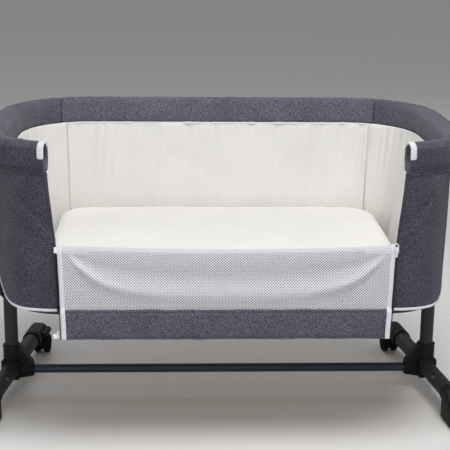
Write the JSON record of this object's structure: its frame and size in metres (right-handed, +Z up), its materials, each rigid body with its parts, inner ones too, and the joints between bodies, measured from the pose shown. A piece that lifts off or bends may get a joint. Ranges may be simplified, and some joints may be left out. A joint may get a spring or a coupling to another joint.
{
  "type": "bassinet on stand",
  "caption": "Bedside bassinet: padded oval fabric basket with a drop-down mesh side, on telescopic posts and an H-shaped tube stand with rear castors.",
  "frame": {"origin": "on the floor, under the middle of the whole object's box", "axes": "+X to the right along the crossbar, +Y to the back (the closed long side), +Z up"},
  "size_m": [0.983, 0.595, 0.59],
  "materials": {
    "chambray": "woven melange cloth",
    "lining": "plain cotton",
    "mattress": "soft knit",
    "mesh": "open spacer mesh",
    "board": "plain fibreboard",
    "tube_paint": "satin powder coat",
    "steel": "brushed",
    "black_plastic": "fine moulded grain",
    "castor_tread": "smooth",
    "rubber": "matte",
    "white_trim": "smooth"
  },
  "bodies": {
    "stand": {"bracket_bolt_left": "steel", "bracket_bolt_right": "steel", "bracket_left": "black_plastic", "bracket_right": "black_plastic", "crossbar": "tube_paint", "foot_tube_left": "tube_paint", "foot_tube_right": "tube_paint", "post_left": "tube_paint", "post_right": "tube_paint", "rear_cap_left": "black_plastic", "rear_cap_right": "black_plastic", "toe_left": "black_plastic", "toe_pad_left": "rubber", "toe_pad_right": "rubber", "toe_right": "black_plastic"},
    "basket": {"base_board": "board", "base_tube_back": "tube_paint", "base_tube_front": "tube_paint", "base_tube_left": "tube_paint", "base_tube_right": "tube_paint", "front_wall": "lining", "height_housing_left": "black_plastic", "height_housing_right": "black_plastic", "lining_back": "lining", "lining_left": "lining", "lining_right": "lining", "mattress": "mattress", "outer_cover_back": "chambray", "outer_cover_left": "chambray", "outer_cover_right": "chambray", "post_sleeve_left": "tube_paint", "post_sleeve_right": "tube_paint", "rail_cover_back": "chambray", "rail_cover_left": "chambray", "rail_cover_right": "chambray", "rail_tube_back": "tube_paint", "rail_tube_left": "tube_paint", "rail_tube_right": "tube_paint"},
    "drop_side": {"drop_band_cover": "chambray", "drop_mesh": "mesh", "drop_rail_tube": "tube_paint"},
    "height_button_left": {"height_button_left": "black_plastic"},
    "zip_slider_left": {"zip_slider_left": "white_trim"},
    "foot_button_left": {"foot_button_left": "steel"},
    "castor_left": {"castor_body_left": "black_plastic", "castor_axle_left": "steel"},
    "castor_wheel_left_outer": {"castor_wheel_left_outer": "castor_tread"},
    "castor_wheel_left_inner": {"castor_wheel_left_inner": "castor_tread"},
    "brake_pedal_left": {"brake_pedal_left": "black_plastic"},
    "height_button_right": {"height_button_right": "black_plastic"},
    "zip_slider_right": {"zip_slider_right": "white_trim"},
    "foot_button_right": {"foot_button_right": "steel"},
    "castor_right": {"castor_body_right": "black_plastic", "castor_axle_right": "steel"},
    "castor_wheel_right_outer": {"castor_wheel_right_outer": "castor_tread"},
    "castor_wheel_right_inner": {"castor_wheel_right_inner": "castor_tread"},
    "brake_pedal_right": {"brake_pedal_right": "black_plastic"}
  },
  "joints": [
    {"name": "basket_height", "type": "slide", "parent": "stand", "child": "basket", "axis": [0, 0, 1], "range_m": [0, 0.18]},
    {"name": "drop_side_swing", "type": "hinge", "parent": "basket", "child": "drop_side", "pos_m": [0, -0.2865, 0.4], "axis": [-1, 0, 0], "range_deg": [0, 180]},
    {"name": "height_button_left_press", "type": "slide", "parent": "basket", "child": "height_button_left", "axis": [1, 0, 0], "range_m": [0, 0.004], "stiffness_N_per_m": 400, "springref_m": -0.001},
    {"name": "zip_left_travel", "type": "slide", "parent": "drop_side", "child": "zip_slider_left", "axis": [0, 0, 1], "range_m": [0, 0.155]},
    {"name": "foot_button_left_press", "type": "slide", "parent": "stand", "child": "foot_button_left", "axis": [-0.813, 0.0998, -0.5736], "range_m": [0, 0.0025], "stiffness_N_per_m": 500, "springref_m": -0.001},
    {"name": "castor_left_swivel", "type": "hinge", "parent": "stand", "child": "castor_left", "pos_m": [-0.40564, 0.22054, 0.03], "axis": [0, 0, 1], "continuous": true},
    {"name": "castor_wheel_left_outer_roll", "type": "hinge", "parent": "castor_left", "child": "castor_wheel_left_outer", "pos_m": [-0.40466, 0.22848, 0.022], "axis": [0.9925, -0.1219, 0], "continuous": true},
    {"name": "castor_wheel_left_inner_roll", "type": "hinge", "parent": "castor_left", "child": "castor_wheel_left_inner", "pos_m": [-0.40466, 0.22848, 0.022], "axis": [0.9925, -0.1219, 0], "continuous": true},
    {"name": "brake_pedal_left_press", "type": "hinge", "parent": "castor_left", "child": "brake_pedal_left", "pos_m": [-0.40405, 0.23345, 0.0399], "axis": [-0.9925, 0.1219, 0], "range_deg": [0, 8]},
    {"name": "height_button_right_press", "type": "slide", "parent": "basket", "child": "height_button_right", "axis": [-1, 0, 0], "range_m": [0, 0.004], "stiffness_N_per_m": 400, "springref_m": -0.001},
    {"name": "zip_right_travel", "type": "slide", "parent": "drop_side", "child": "zip_slider_right", "axis": [0, 0, 1], "range_m": [-0.155, 0]},
    {"name": "foot_button_right_press", "type": "slide", "parent": "stand", "child": "foot_button_right", "axis": [0.813, 0.0998, -0.5736], "range_m": [0, 0.0025], "stiffness_N_per_m": 500, "springref_m": -0.001},
    {"name": "castor_right_swivel", "type": "hinge", "parent": "stand", "child": "castor_right", "pos_m": [0.40564, 0.22054, 0.03], "axis": [0, 0, 1], "continuous": true},
    {"name": "castor_wheel_right_outer_roll", "type": "hinge", "parent": "castor_right", "child": "castor_wheel_right_outer", "pos_m": [0.40466, 0.22848, 0.022], "axis": [0.9925, 0.1219, 0], "continuous": true},
    {"name": "castor_wheel_right_inner_roll", "type": "hinge", "parent": "castor_right", "child": "castor_wheel_right_inner", "pos_m": [0.40466, 0.22848, 0.022], "axis": [0.9925, 0.1219, 0], "continuous": true},
    {"name": "brake_pedal_right_press", "type": "hinge", "parent": "castor_right", "child": "brake_pedal_right", "pos_m": [0.40405, 0.23345, 0.0399], "axis": [-0.9925, -0.1219, 0], "range_deg": [0, 8]}
  ]
}
